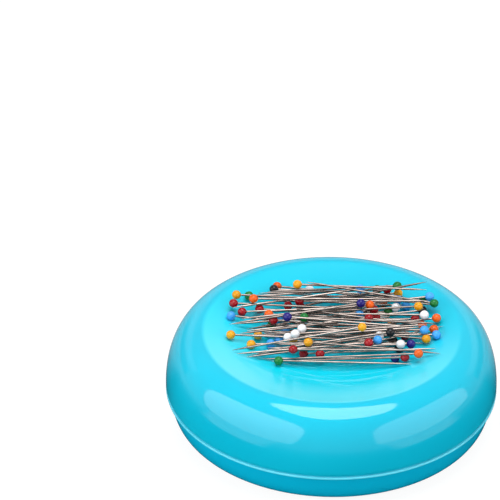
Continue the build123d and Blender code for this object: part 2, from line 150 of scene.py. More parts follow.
class Shader:
    """Node tree of a material, world or lamp, built node by node."""

    def __init__(self, tree: bpy.types.NodeTree) -> None:
        """Start with an empty tree."""
        self.tree = tree
        tree.nodes.clear()

    @staticmethod
    def _socket(sockets: Any, key: Any) -> bpy.types.NodeSocket:
        """Find a node's socket.

        Args:
            sockets: the node's inputs or outputs.
            key: place of the socket, or its name. Of sockets with one name, the enabled one is meant.

        Returns:
            The socket.
        """
        if isinstance(key, int):
            return sockets[key]
        return next(socket for socket in sockets if socket.name == key and socket.enabled)

    def add(self, kind: str, settings: dict[str, Any], inputs: dict[Any, Any], output: Any = 0) -> Signal:
        """Add any node and take one of its outputs.

        Args:
            kind: the node's type.
            settings: its properties, which are set first.
            inputs: values or signals by socket.
            output: place or name of the output.

        Returns:
            That output as a signal. A node that ends the tree has no output, and its signal is empty.
        """
        node = self.tree.nodes.new(kind)
        for name, value in settings.items():
            setattr(node, name, value)
        for key, value in inputs.items():
            socket = self._socket(node.inputs, key)
            if isinstance(value, Signal):
                self.tree.links.new(value.socket, socket)
            elif isinstance(value, tuple) and len(value) == 3 and len(socket.default_value) == 4:
                socket.default_value = (*value, 1.0)
            else:
                socket.default_value = value
        return Signal(self, self._socket(node.outputs, output) if len(node.outputs) else None)

    def blend(self, factor: Any, first: Any, second: Any) -> Signal:
        """Mix two colours.

        Args:
            factor: share of the second colour.
            first: colour or signal at 0.
            second: colour or signal at 1.

        Returns:
            The mixed colour.
        """
        inputs = {"Factor": factor, "A": first, "B": second}
        return self.add("ShaderNodeMix", {"data_type": "RGBA"}, inputs, "Result")

    def noise(self, place: Signal, scale: float, detail: float, roughness: float = 0.5) -> Signal:
        """Cloudy noise from 0 to 1.

        Args:
            place: coordinates that the noise follows.
            scale: clouds per metre.
            detail: number of finer layers.
            roughness: weight of the finer layers.

        Returns:
            The noise's value.
        """
        inputs = {"Vector": place, "Scale": scale, "Detail": detail, "Roughness": roughness}
        return self.add("ShaderNodeTexNoise", {}, inputs)

    def stretched(self, place: Signal, factors: Triple, turn: float = 0.0) -> Signal:
        """Coordinates stretched and then turned about Z.

        Args:
            place: coordinates to change.
            factors: scale along X, Y and Z.
            turn: turn about Z in degrees, after the stretch.

        Returns:
            The new coordinates.
        """
        inputs = {"Vector": place, "Rotation": (0.0, 0.0, math.radians(turn)), "Scale": factors}
        return self.add("ShaderNodeMapping", {"vector_type": "POINT"}, inputs)

    def own_place(self) -> Signal:
        """Coordinates on the piece itself, in metres."""
        return self.add("ShaderNodeTexCoord", {}, {}, "Object")

    def axes(self, place: Signal) -> tuple[Signal, Signal, Signal]:
        """Split coordinates.

        Args:
            place: the coordinates.

        Returns:
            Their X, Y and Z.
        """
        parts = self.add("ShaderNodeSeparateXYZ", {}, {"Vector": place}).socket.node.outputs
        return Signal(self, parts[0]), Signal(self, parts[1]), Signal(self, parts[2])

    def ray(self, kind: str) -> Signal:
        """Whether a ray is of one kind, such as Is Camera Ray: 1 if it is, otherwise 0."""
        return self.add("ShaderNodeLightPath", {}, {}, kind)

    def attribute(self, name: str, output: str) -> Signal:
        """Value that the mesh carries.

        Args:
            name: the attribute's name.
            output: Fac for a number or Vector for three.

        Returns:
            The attribute as a signal.
        """
        settings = {"attribute_type": "GEOMETRY", "attribute_name": name}
        return self.add("ShaderNodeAttribute", settings, {}, output)

    def bump(self, height: Signal, distance: float, strength: float) -> Signal:
        """Normal of a surface with small relief.

        Args:
            height: relief from 0 to 1.
            distance: height in metres of a full step.
            strength: share of the relief that shows.

        Returns:
            The bent normal.
        """
        inputs = {"Height": height, "Distance": distance, "Strength": strength}
        return self.add("ShaderNodeBump", {}, inputs)


# Finishes


@dataclass(frozen=True)
class Finish:
    """A finish of one of the object's materials."""

    name: str

    def material(self) -> bpy.types.Material:
        """Make the finish as a material.

        Returns:
            The material with its principled surface.
        """
        made = bpy.data.materials.new(self.name)
        made.use_nodes = True
        shader = Shader(made.node_tree)
        surface = shader.add("ShaderNodeBsdfPrincipled", {}, self.surface(shader))
        shader.add("ShaderNodeOutputMaterial", {}, {0: surface})
        return made

    def surface(self, shader: Shader) -> dict[str, Any]:
        """Values and signals of the principled surface, by socket.

        Args:
            shader: tree that the signals' nodes go into.

        Returns:
            The sockets that differ from the plain surface.
        """
        raise NotImplementedError


@dataclass(frozen=True)
class MouldedGloss(Finish):
    """Glossy injection-moulded plastic with a faint grain, faint rub marks in the dish, and painted light on the dish,
    its crest slope and the seam's edge.
    """

    colour: Triple = (0.003, 0.5, 0.69)
    deep_colour: Triple = (0.002, 0.47, 0.66)
    # painted light: the colour that the dish is painted lighter with
    dish_colour: Triple = (0.006, 0.66, 0.84)
    # painted sheen: lighter colour on the front of the crest's inner slope
    haze_colour: Triple = (0.1, 0.74, 0.88)
    base_colour: Triple = (0.001, 0.49, 0.74)
    # painted highlight: light line along the edge at the seam
    edge_colour: Triple = (0.16, 0.8, 0.95)
    dish_share: float = 0.2
    dish_gain: float = 0.62
    haze_share: float = 0.75
    edge_share: float = 0.7
    index: float = 1.49
    roughness: float = 0.05
    rub_roughness: float = 0.09
    haze_roughness: float = 0.16
    grain_roughness: float = 0.02
    rub_radius: float = 0.0285
    dish_radius: float = 0.038
    haze_radius: float = 0.024
    crest_radii: Pair = (0.0416, 0.0436)
    dish_heights: Pair = (0.024, 0.028)
    thin_way: Pair = (-0.6, -0.75)
    thin_span: Pair = (-0.03, 0.028)
    front_way: Pair = (-0.2, -0.88)
    front_span: Pair = (-0.02, 0.034)
    base_heights: Pair = (0.0144, 0.0148)
    edge_foot: Pair = (0.014, 0.0143)
    edge_head: Pair = (0.0149, 0.0152)
    edge_radii: Pair = (0.0533, 0.0538)
    cloud_scale: float = 28.0
    cloud_span: Pair = (0.3, 0.75)
    rub_stretch: Triple = (35.0, 2600.0, 35.0)
    rub_turns: tuple[float, ...] = (8.0, -21.0)
    rub_span: Pair = (0.6, 0.72)
    rub_relief: float = 0.6
    grain_scale: float = 2400.0
    grain_relief: float = 0.35
    relief_depth: float = 0.000004
    relief_share: float = 0.35

    def _rub_lines(self, shader: Shader, place: Signal) -> Signal:
        """Fine lines where pins slide on the dish, one set from each turn of a stretched noise.

        Args:
            shader: tree that the nodes go into.
            place: coordinates on the piece.

        Returns:
            The lines, from 0 to 1.
        """
        rubs = None
        for turn in self.rub_turns:
            along = shader.stretched(place, self.rub_stretch, turn)
            fine = shader.noise(along, scale=1.0, detail=2.0, roughness=0.6).ramp(*self.rub_span)
            rubs = fine if rubs is None else rubs.highest(fine)
        return rubs

    def surface(self, shader: Shader) -> dict[str, Any]:
        """Blue plastic: soft clouds of colour, and fine rub lines where pins slide on the dish.

        The dish is painted lighter as painted light, most of all at its front left, and a painted highlight runs along
        the edge at the seam. The dish's slope below the crest is a little hazy from use, and its front part there is
        painted lighter as a painted sheen.

        Args:
            shader: tree that the nodes go into.

        Returns:
            The principled surface's values and signals, by socket.
        """
        place = shader.own_place()
        across, along, height = shader.axes(place)
        reach = (across * across + along * along) ** 0.5
        to_crest = (1.0 - reach.ramp(*self.crest_radii)) * height.ramp(*self.dish_heights)
        below = 1.0 - height.ramp(*self.base_heights)
        # painted highlight mask: the thin band at the seam's edge
        edge = height.ramp(*self.edge_foot) * (1.0 - height.ramp(*self.edge_head)) * reach.ramp(*self.edge_radii)
        # mask of the slope below the crest: rougher there, and it carries the painted sheen
        haze_and_sheen = reach.ramp(self.haze_radius, self.dish_radius) * to_crest
        # painted light: mask that grows towards the dish's front left
        thin = (across * self.thin_way[0] + along * self.thin_way[1]).ramp(*self.thin_span)
        front = (across * self.front_way[0] + along * self.front_way[1]).ramp(*self.front_span)
        clouds = shader.noise(place, self.cloud_scale, detail=2.0)
        base = shader.blend(clouds.ramp(*self.cloud_span), self.colour, self.deep_colour)
        base = shader.blend(below, base, self.base_colour)
        # painted light: the dish painted lighter, most of all at its front left
        base = shader.blend(to_crest * (thin * self.dish_gain + self.dish_share), base, self.dish_colour)
        # painted sheen: the front of the crest's slope painted lighter
        base = shader.blend(haze_and_sheen * front * self.haze_share, base, self.haze_colour)
        # painted highlight: the seam's edge painted lighter
        base = shader.blend(edge * self.edge_share, base, self.edge_colour)
        marks = self._rub_lines(shader, place) * (1.0 - reach.ramp(self.rub_radius, self.dish_radius))
        grain = shader.noise(place, self.grain_scale, detail=2.0, roughness=0.55)
        roughness = self.roughness + marks * self.rub_roughness + haze_and_sheen * self.haze_roughness
        relief = grain * self.grain_relief - marks * self.rub_relief
        return {
            "Base Color": base,
            "Roughness": roughness + grain * self.grain_roughness,
            "IOR": self.index,
            "Normal": shader.bump(relief, self.relief_depth, self.relief_share),
        }


@dataclass(frozen=True)
class HeadPlastic(Finish):
    """Hard glossy plastic of a pin's ball head, each pin a shade lighter or darker than the next."""

    colour: Triple = (0.5, 0.5, 0.5)
    light_gain: float = 1.12
    light_lift: float = 0.004
    dark_gain: float = 0.84
    neck_gain: float = 0.45
    neck_share: float = 0.55
    neck_heights: Pair = (0.00115, 0.0015)
    index: float = 1.38
    roughness: float = 0.05
    grain_roughness: float = 0.05
    neck_roughness: float = 0.15
    grain_scale: float = 1500.0
    relief_depth: float = 0.000006
    relief_share: float = 0.4

    def surface(self, shader: Shader) -> dict[str, Any]:
        """Head colour with each pin's own shade, a darker ring at the wire and a faint mould skin.

        Args:
            shader: tree that the nodes go into.

        Returns:
            The principled surface's values and signals, by socket.
        """
        light = tuple(min(1.0, part * self.light_gain + self.light_lift) for part in self.colour)
        dark = tuple(part * self.dark_gain for part in self.colour)
        ring = tuple(part * self.neck_gain for part in self.colour)
        body = shader.blend(shader.attribute("shade", "Fac"), dark, light)
        neck = shader.attribute("along", "Fac").ramp(*self.neck_heights)
        grain = shader.noise(shader.attribute("grain", "Vector"), self.grain_scale, detail=2.0)
        return {
            "Base Color": shader.blend(neck * self.neck_share, body, ring),
            "Roughness": self.roughness + grain * self.grain_roughness + neck * self.neck_roughness,
            "IOR": self.index,
            "Normal": shader.bump(grain, self.relief_depth, self.relief_share),
        }


@dataclass(frozen=True)
class DrawnSteel(Finish):
    """Nickel-plated drawn wire: fine lines along the pin and a bright ground point."""

    colour: Triple = (0.43, 0.372, 0.34)
    dull_colour: Triple = (0.17, 0.143, 0.13)
    streak_share: float = 0.5
    patch_share: float = 0.3
    shade_share: float = 0.3
    colour_span: Pair = (0.35, 0.75)
    roughness: float = 0.1
    streak_roughness: float = 0.16
    point_polish: float = 0.06
    point_reach: Pair = (0.039, 0.04)
    streak_scale: float = 9000.0
    streak_stretch: Triple = (1.0, 1.0, 0.04)
    patch_scale: float = 160.0
    relief_depth: float = 0.000006
    relief_share: float = 0.5

    def surface(self, shader: Shader) -> dict[str, Any]:
        """Warm grey metal, streaked along the wire, with each pin's own shade.

        Args:
            shader: tree that the nodes go into.

        Returns:
            The principled surface's values and signals, by socket.
        """
        grain = shader.attribute("grain", "Vector")
        drawn = shader.stretched(grain, self.streak_stretch)
        streaks = shader.noise(drawn, self.streak_scale, detail=3.0, roughness=0.6)
        patches = shader.noise(grain, self.patch_scale, detail=2.0)
        shade = shader.attribute("shade", "Fac")
        mixed = streaks * self.streak_share + patches * self.patch_share + shade * self.shade_share
        point = shader.attribute("along", "Fac").ramp(*self.point_reach)
        return {
            "Base Color": shader.blend(mixed.ramp(*self.colour_span), self.dull_colour, self.colour),
            "Metallic": 1.0,
            "Roughness": self.roughness + streaks * self.streak_roughness - point * self.point_polish,
            "Normal": shader.bump(streaks, self.relief_depth, self.relief_share),
        }


@dataclass(frozen=True)
class Ferrite(Finish):
    """Dark grey sintered magnet with pressed grain."""

    colour: Triple = (0.035, 0.035, 0.038)
    worn_colour: Triple = (0.085, 0.083, 0.082)
    grain_scale: float = 1900.0
    dust_scale: float = 90.0
    dust_span: Pair = (0.2, 0.42)
    roughness: float = 0.5
    grain_roughness: float = 0.25
    relief_depth: float = 0.00004
    relief_share: float = 0.6

    def surface(self, shader: Shader) -> dict[str, Any]:
        """Charcoal ceramic with grey dust in its grain.

        Args:
            shader: tree that the nodes go into.

        Returns:
            The principled surface's values and signals, by socket.
        """
        place = shader.own_place()
        grain = shader.noise(place, self.grain_scale, detail=4.0, roughness=0.65)
        dust = shader.noise(place, self.dust_scale, detail=3.0)
        return {
            "Base Color": shader.blend((grain * dust).ramp(*self.dust_span), self.colour, self.worn_colour),
            "Roughness": self.roughness + grain * self.grain_roughness,
            "Normal": shader.bump(grain, self.relief_depth, self.relief_share),
        }


@dataclass(frozen=True)
class CellFoam(Finish):
    """Black closed-cell foam."""

    colour: Triple = (0.012, 0.012, 0.013)
    wall_colour: Triple = (0.045, 0.045, 0.047)
    cell_scale: float = 1500.0
    wall_span: Pair = (0.02, 0.16)
    roughness: float = 0.9
    wall_polish: float = 0.1
    relief_depth: float = 0.00025
    relief_share: float = 0.8

    def surface(self, shader: Shader) -> dict[str, Any]:
        """Open skin of small cells with paler walls between them.

        Args:
            shader: tree that the nodes go into.

        Returns:
            The principled surface's values and signals, by socket.
        """
        inputs = {"Vector": shader.own_place(), "Scale": self.cell_scale}
        cells = shader.add("ShaderNodeTexVoronoi", {"feature": "DISTANCE_TO_EDGE"}, inputs, "Distance")
        walls = 1.0 - cells.ramp(*self.wall_span)
        return {
            "Base Color": shader.blend(walls, self.colour, self.wall_colour),
            "Roughness": self.roughness - walls * self.wall_polish,
            "Normal": shader.bump(walls, self.relief_depth, self.relief_share),
        }


# Shapes


def quarter_curve(start: Pair, end: Pair, fullness: float, count: int) -> np.ndarray:
    """Quarter of a rounded outline.

    It is a cubic Bezier curve P(t) = (1-t)^3 S + 3(1-t)^2 t A + 3(1-t) t^2 B + t^3 E. Its handle A
    leaves the start level and its handle B reaches the end upright, each as long as the fullness
    share of the way.

    Args:
        start: radius and height where the curve is level.
        end: radius and height where the curve is upright.
        fullness: share from 0, a straight line, to 1, nearly a corner.
        count: number of points.

    Returns:
        Points as rows of radius and height.
    """
    share = np.linspace(0.0, 1.0, count)[:, None]
    first, last = np.array(start), np.array(end)
    level = np.array([first[0] + fullness * (last[0] - first[0]), first[1]])
    upright = np.array([last[0], last[1] + fullness * (first[1] - last[1])])
    back = 1.0 - share
    return back**3 * first + 3 * back**2 * share * level + 3 * back * share**2 * upright + share**3 * last


def arc(middle: Pair | np.ndarray, radius: float, start: float, end: float, count: int) -> np.ndarray:
    """Circular arc: point i lies at the middle plus radius times (cos a, sin a), a from start to end.

    Args:
        middle: radius and height of the arc's middle.
        radius: radius of the arc.
        start: first angle in degrees.
        end: last angle in degrees.
        count: number of points.

    Returns:
        Points as rows of radius and height.
    """
    angles = np.radians(np.linspace(start, end, count))
    return np.array(middle) + radius * np.stack([np.cos(angles), np.sin(angles)], axis=1)


def ball_floor(depth_height: float, ball_radius: float, reach: float, count: int) -> np.ndarray:
    """Hollow of a dish: height(r) = lowest height + R - sqrt(R^2 - r^2), from the axis outwards.

    Args:
        depth_height: height of the lowest point.
        ball_radius: radius R of the ball that the dish is part of.
        reach: largest radius.
        count: number of points.

    Returns:
        Points as rows of radius and height.
    """
    radii = np.linspace(0.0, reach, count)
    heights = depth_height + ball_radius - np.sqrt(ball_radius**2 - radii**2)
    return np.stack([radii, heights], axis=1)


def rounded_edge(
    before: np.ndarray, corner: np.ndarray, after: np.ndarray, radius: float, count: int
) -> np.ndarray:
    """Round off the corner of a profile.

    The arc touches both sides: its middle lies on the bisector, radius / sin(half angle) away.

    Args:
        before: point that the profile comes from.
        corner: the corner itself.
        after: point that the profile goes on to.
        radius: radius of the round.
        count: number of points on the arc.

    Returns:
        The arc's points, from the incoming side to the outgoing side.
    """
    incoming = (before - corner) / np.linalg.norm(before - corner)
    outgoing = (after - corner) / np.linalg.norm(after - corner)
    half = math.acos(float(np.clip(incoming @ outgoing, -1, 1))) / 2
    bisector = (incoming + outgoing) / np.linalg.norm(incoming + outgoing)
    middle = corner + bisector * radius / math.sin(half)
    first = corner + incoming * radius / math.tan(half) - middle
    last = corner + outgoing * radius / math.tan(half) - middle
    start = math.atan2(first[1], first[0])
    sweep = (math.atan2(last[1], last[0]) - start + math.pi) % (2 * math.pi) - math.pi
    return arc(middle, radius, math.degrees(start), math.degrees(start + sweep), count)


def turns(count: int) -> np.ndarray:
    """Angles of even steps round a full turn: step i is at 2 pi i / count."""
    return np.arange(count) * 2 * np.pi / count


def circle(sides: int) -> np.ndarray:
    """Points (cos a, sin a) of the unit circle, one for each side."""
    return np.stack([np.cos(turns(sides)), np.sin(turns(sides))], axis=1)


def ring_quads(rings: int, sides: int, closed: bool = False) -> np.ndarray:
    """Join rings of vertices that follow each other.

    Args:
        rings: number of rings.
        sides: number of vertices in each.
        closed: whether the last ring is joined to the first.

    Returns:
        The four corners of each face.
    """
    here = np.arange(rings if closed else rings - 1)[:, None] * sides
    there = (here + sides) % (rings * sides)
    near = np.arange(sides)[None, :]
    far = (near + 1) % sides
    return np.stack([here + near, there + near, there + far, here + far], axis=-1).reshape(-1, 4)


def lathe(
    profile: np.ndarray, sides: int, origins: np.ndarray | None = None, axes: np.ndarray | None = None
) -> Surface:
    """Turn a profile round one axis or several at once.

    A point (r, z) of the profile at angle a lies at origin + z D + r (cos a U + sin a V), where D is
    the axis and U and V are square to it. The profile's first and last points lie on the axis, and it
    runs outwards from the upper one, so the faces point outwards.

    Args:
        profile: rows of radius and height.
        sides: number of steps round the axis.
        origins: one row for each copy; the frame's origin if left out.
        axes: one unit row for each copy; straight up if left out.

    Returns:
        The vertices, with each copy's upper pole, rings and lower pole in turn, and the faces.
    """
    origins = np.zeros((1, 3)) if origins is None else origins
    axes = np.array([[0.0, 0.0, 1.0]]) if axes is None else axes
    helper = np.where(np.abs(axes[:, 2:]) > NEARLY_UPRIGHT, [[1.0, 0.0, 0.0]], [[0.0, 0.0, 1.0]])
    side_one = helper - (helper * axes).sum(axis=1, keepdims=True) * axes
    side_one /= np.linalg.norm(side_one, axis=1, keepdims=True)
    side_two = np.cross(axes, side_one)
    round_axis = circle(sides)[None, :, :, None]
    spokes = round_axis[:, :, 0] * side_one[:, None, :] + round_axis[:, :, 1] * side_two[:, None, :]
    inner = profile[1:-1]
    rings = (
        origins[:, None, None, :]
        + inner[None, :, 1, None, None] * axes[:, None, None, :]
        + inner[None, :, 0, None, None] * spokes[:, None, :, :]
    )
    upper = origins + profile[0, 1] * axes
    lower = origins + profile[-1, 1] * axes
    vertices = np.concatenate([upper[:, None, :], rings.reshape(len(axes), -1, 3), lower[:, None, :]], axis=1)
    near = np.arange(sides)
    far = (near + 1) % sides
    last_ring = (len(inner) - 1) * sides + 1
    pole = np.zeros_like(near)
    top = np.stack([pole, 1 + near, 1 + far], axis=-1)
    bottom = np.stack([pole + vertices.shape[1] - 1, last_ring + far, last_ring + near], axis=-1)
    starts = np.arange(len(axes))[:, None, None] * vertices.shape[1]
    faces: list[list[int]] = []
    for kind in (ring_quads(len(inner), sides) + 1, top, bottom):
        faces += (kind[None] + starts).reshape(-1, kind.shape[1]).tolist()
    return vertices.reshape(-1, 3), faces


def tube_ring(inner: float, outer: float, low: float, high: float, sides: int) -> Surface:
    """Square-edged ring: four circles of radius r at height z, (r cos a, r sin a, z), joined in turn.

    Args:
        inner: inner radius.
        outer: outer radius.
        low: lower height.
        high: upper height.
        sides: number of steps round the ring.

    Returns:
        The vertices and the faces.
    """
    corners = np.array([[inner, high], [outer, high], [outer, low], [inner, low]])
    flat = corners[:, None, :1] * circle(sides)[None]
    heights = np.broadcast_to(corners[:, None, 1:], (4, sides, 1))
    vertices = np.concatenate([flat, heights], axis=2).reshape(-1, 3)
    return vertices, ring_quads(4, sides, closed=True).tolist()


def radial_plates(
    inner: float, outer: float, low: float, highs: Pair, width: float, angles: np.ndarray
) -> Surface:
    """Upright plates that stand like spokes: corner (r, s, z) goes to (r cos a - s sin a, r sin a + s cos a, z).

    Args:
        inner: radius where each plate starts.
        outer: radius where it ends.
        low: height of its lower edge.
        highs: heights of its upper edge at the inner and the outer end.
        width: its thickness.
        angles: directions of the plates in radians.

    Returns:
        The vertices and the faces.
    """
    radii = np.array([inner, outer, outer, inner] * 2)
    sides = np.array([-1.0, -1.0, 1.0, 1.0] * 2) * width / 2
    heights = np.array([low] * 4 + [highs[0], highs[1], highs[1], highs[0]])
    across = radii[None] * np.cos(angles)[:, None] - sides[None] * np.sin(angles)[:, None]
    along = radii[None] * np.sin(angles)[:, None] + sides[None] * np.cos(angles)[:, None]
    vertices = np.stack([across, along, np.broadcast_to(heights, across.shape)], axis=-1).reshape(-1, 3)
    sheet = np.array([[0, 3, 2, 1], [4, 5, 6, 7], [0, 1, 5, 4], [1, 2, 6, 5], [2, 3, 7, 6], [3, 0, 4, 7]])
    faces = (sheet[None] + np.arange(len(angles))[:, None, None] * 8).reshape(-1, 4)
    return vertices, faces.tolist()


def make_piece(
    name: str, vertices: np.ndarray, faces: list[list[int]], material: bpy.types.Material, sharp_angle: float = 30.0
) -> bpy.types.Object:
    """Put a surface into the scene as one smooth-shaded piece.

    Args:
        name: the piece's name.
        vertices: rows of X, Y and Z.
        faces: indices of each face's corners.
        material: its finish.
        sharp_angle: edges that turn by more degrees than this stay crisp.

    Returns:
        The new object, at the origin.
    """
    mesh = bpy.data.meshes.new(name)
    mesh.from_pydata(vertices.tolist(), [], faces)
    mesh.polygons.foreach_set("use_smooth", np.ones(len(mesh.polygons), dtype=bool))
    mesh.set_sharp_from_angle(angle=math.radians(sharp_angle))
    mesh.materials.append(material)
    mesh.update()
    piece = bpy.data.objects.new(name, mesh)
    bpy.context.scene.collection.objects.link(piece)
    log.info("%s: %d vertices, %d faces", name, len(mesh.vertices), len(mesh.polygons))
    return piece


# Sub-assemblies


@dataclass
class BowlShells:
    """The two moulded shells of the bowl: dish and rim above the seam, base below it."""

    bowl_radius: float = 0.055
    rim_height: float = 0.036
    crest_radius: float = 0.0427
    crest_round: float = 0.005
    dish_depth: float = 0.007
    seam_height: float = 0.0148
    skirt_taper_height: float = 0.0012
    skirt_taper: float = 0.0006
    skirt_edge_round: float = 0.0001
    flange_height: float = 0.0007
    flange_edge_round: float = 0.00042
    rim_fullness: float = 0.6
    wall: float = 0.0024
    base_step: float = 0.0015
    base_flat_radius: float = 0.033
    base_fullness: float = 0.8
    foot_radius: float = 0.031
    foot_width: float = 0.003
    foot_height: float = 0.0008
    foot_round: float = 0.0003
    tongue_height: float = 0.004
    joint_clearance: float = 0.00015
    bead_depth: float = 0.0003
    bead_length: float = 0.0012
    bead_height: float = 0.0016
    collar_bore_radius: float = 0.03035
    collar_wall: float = 0.0016
    collar_length: float = 0.008
    magnet_top: float = 0.026
    magnet_bore_radius: float = 0.016
    seat_rib_count: int = 12
    rib_width: float = 0.0012
    press_ring_radius: float = 0.023
    press_ring_wall: float = 0.0018
    press_ring_top: float = 0.013
    press_rib_count: int = 8
    press_rib_reach: float = 0.005
    gate_radius: float = 0.0022
    gate_depth: float = 0.0003
    sides: int = 360
    ring_sides: int = 96
    rim_samples: int = 4001
    dish_steps: int = 90
    crest_steps: int = 18
    rim_steps: int = 80
    hollow_steps: int = 40
    inner_steps: int = 30
    outer_steps: int = 70
    edge_steps: int = 4
    flange_steps: int = 10
    foot_steps: tuple[int, ...] = (5, 6, 6)
    finish: MouldedGloss = field(default_factory=lambda: MouldedGloss("sky_blue_moulding"))

    @property
    def floor_height(self) -> float:
        """Height of the dish's lowest point."""
        return self.rim_height - self.dish_depth

    @property
    def ball_radius(self) -> float:
        """Radius of the ball that the dish is part of."""
        return (self.crest_radius**2 + self.dish_depth**2) / (2 * self.dish_depth)

    def dish_and_rim(self) -> np.ndarray:
        """Upper outline from the dish's middle over the crest to the widest place.

        The crest is rounded by the arc that touches both sides: the rim's curve is moved inwards by
        the round's radius, and the arc's middle is where it meets the dish's ball moved down by it.

        Returns:
            Points as rows of radius and height.
        """
        widest = (self.bowl_radius, self.seam_height + self.skirt_taper_height)
        rim = quarter_curve((self.crest_radius, self.rim_height), widest, self.rim_fullness, self.rim_samples)
        runs = np.gradient(rim, axis=0)
        runs /= np.linalg.norm(runs, axis=1, keepdims=True)
        middles = rim + self.crest_round * np.stack([runs[:, 1], -runs[:, 0]], axis=1)
        ball_middle = np.array([0.0, self.floor_height + self.ball_radius])
        misses = np.linalg.norm(middles - ball_middle, axis=1) - (self.ball_radius + self.crest_round)
        touch = int(np.argmax(misses >= 0))
        middle = middles[touch]
        dish_touch = ball_middle + (middle - ball_middle) * self.ball_radius / (self.ball_radius + self.crest_round)
        start = math.degrees(math.atan2(*(dish_touch - middle)[::-1]))
        end = math.degrees(math.atan2(*(rim[touch] - middle)[::-1]))
        dish = ball_floor(self.floor_height, self.ball_radius, float(dish_touch[0]), self.dish_steps)
        crest = arc(middle, self.crest_round, start, end, self.crest_steps)
        rest = rim[touch:][np.linspace(0, len(rim) - touch - 1, self.rim_steps).astype(int)]
        return np.concatenate([dish[:-1], crest[:-1], rest])

    def top_profile(self) -> np.ndarray:
        """Whole closed outline of the top shell, its snap groove and hollow underside included.

        Returns:
            Points as rows of radius and height.
        """
        skirt = self.bowl_radius - self.wall
        bead = self.seam_height + self.bead_height
        seam_corner = np.array([self.bowl_radius - self.skirt_taper, self.seam_height])
        above = np.array([self.bowl_radius, self.seam_height + self.skirt_taper_height])
        inside = np.array([skirt, self.seam_height])
        root = (skirt, self.seam_height + self.tongue_height)
        crown = (self.crest_radius, self.rim_height - self.wall)
        under = quarter_curve(crown, root, self.rim_fullness, self.inner_steps)[::-1]
        lowest = self.floor_height - self.wall
        hollow = ball_floor(lowest, self.ball_radius, self.crest_radius, self.hollow_steps)[::-1]
        half = self.bead_length / 2
        groove = [[skirt, bead - half], [skirt + self.bead_depth, bead], [skirt, bead + half]]
        return np.concatenate(
            [
                self.dish_and_rim(),
                rounded_edge(above, seam_corner, inside, self.skirt_edge_round, self.edge_steps),
                [inside],
                groove,
                under,
                hollow[1:],
            ]
        )

    def base_profile(self) -> np.ndarray:
        """Whole closed outline of the base shell: inner floor, tongue, bead, side, foot and gate mark.

        Returns:
            Points as rows of radius and height.
        """
        floor = self.foot_height + self.wall
        base = self.bowl_radius - self.base_step
        bore = base - self.wall
        tongue = self.bowl_radius - self.wall - self.joint_clearance
        top = self.seam_height + self.tongue_height - self.joint_clearance
        bead = self.seam_height + self.bead_height
        flat = self.base_flat_radius
        rise = (bore, self.seam_height)
        inner = quarter_curve((flat - self.wall, floor), rise, self.base_fullness, self.inner_steps)
        under = self.seam_height - self.flange_height
        outer = quarter_curve((flat, self.foot_height), (base, under), self.base_fullness, self.outer_steps)[::-1]
        ledge = [[tongue, self.seam_height], [self.bowl_radius, self.seam_height]]
        flange = np.array([*ledge, [self.bowl_radius, under], [base, under]])
        foot_bore = self.foot_radius - self.foot_width
        foot = [[self.foot_radius, self.foot_height], [self.foot_radius, 0.0], [foot_bore, 0.0]]
        foot = np.array([outer[-1], *foot, [foot_bore, self.foot_height]])
        foot_rounds = [
            rounded_edge(*foot[place : place + 3], self.foot_round, steps)
            for place, steps in enumerate(self.foot_steps)
        ]
        gate = self.foot_height + self.gate_depth
        return np.concatenate(
            [
                [[0.0, floor]],
                inner,
                [[bore, top], [tongue - self.bead_depth, top], [tongue, top - self.bead_depth]],
                [[tongue, bead + self.bead_length / 2], [tongue + self.bead_depth, bead]],
                [[tongue, bead - self.bead_length / 2], flange[0]],
                rounded_edge(*flange[:3], self.flange_edge_round, self.flange_steps),
                rounded_edge(*flange[1:], self.skirt_edge_round, self.edge_steps),
                outer,
                *foot_rounds,
                [foot[-1], [self.gate_radius + self.gate_depth, self.foot_height]],
                [[self.gate_radius, gate], [self.gate_radius / 3, gate], [0.0, gate - self.gate_depth / 2]],
            ]
        )

    def build(self) -> list[bpy.types.Object]:
        """Make both shells with their inner collar, ribs and posts.

        Returns:
            The pieces, each riding on the bowl.
        """
        plastic = self.finish.material()
        under_dish = self.floor_height - self.wall / 2
        rib_rise = self.ball_radius - math.sqrt(self.ball_radius**2 - self.collar_bore_radius**2)
        post_root = self.foot_height + self.wall / 2
        half_press = self.press_ring_wall / 2
        shapes = {
            "dish_and_rim": lathe(self.top_profile(), self.sides),
            "base_and_foot": lathe(self.base_profile(), self.sides),
            "magnet_collar": tube_ring(
                self.collar_bore_radius,
                self.collar_bore_radius + self.collar_wall,
                self.magnet_top - self.collar_length,
                under_dish + rib_rise,
                self.ring_sides,
            ),
            "magnet_seat_ribs": radial_plates(
                self.magnet_bore_radius,
                self.collar_bore_radius,
                self.magnet_top,
                (under_dish, under_dish + rib_rise),
                self.rib_width,
                turns(self.seat_rib_count),
            ),
            "foam_post_ring": tube_ring(
                self.press_ring_radius - half_press,
                self.press_ring_radius + half_press,
                post_root,
                self.press_ring_top,
                self.ring_sides,
            ),
            "foam_post_ribs": radial_plates(
                self.press_ring_radius - self.press_rib_reach,
                self.press_ring_radius + self.press_rib_reach,
                post_root,
                (self.press_ring_top, self.press_ring_top),
                self.rib_width,
                turns(self.press_rib_count),
            ),
        }
        pieces = []
        for name, (vertices, faces) in shapes.items():
            piece = make_piece(name, vertices, faces, plastic)
            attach(piece, Body.BOWL.value)
            pieces.append(piece)
        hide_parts("top_shell")
        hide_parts("base_shell")
        return pieces


@dataclass
class MagnetPack:
    """The ring magnet and the foam ring under it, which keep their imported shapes."""

    ferrite: Ferrite = field(default_factory=lambda: Ferrite("sintered_ferrite"))
    foam: CellFoam = field(default_factory=lambda: CellFoam("black_cell_foam"))

    def dress(self) -> None:
        """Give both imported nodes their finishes."""
        for node, finish in (("ring_magnet", self.ferrite), ("foam_ring", self.foam)):
            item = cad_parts[node]
            item.data.materials.clear()
            item.data.materials.append(finish.material())
            log.info("%s dressed in %s", node, finish.name)


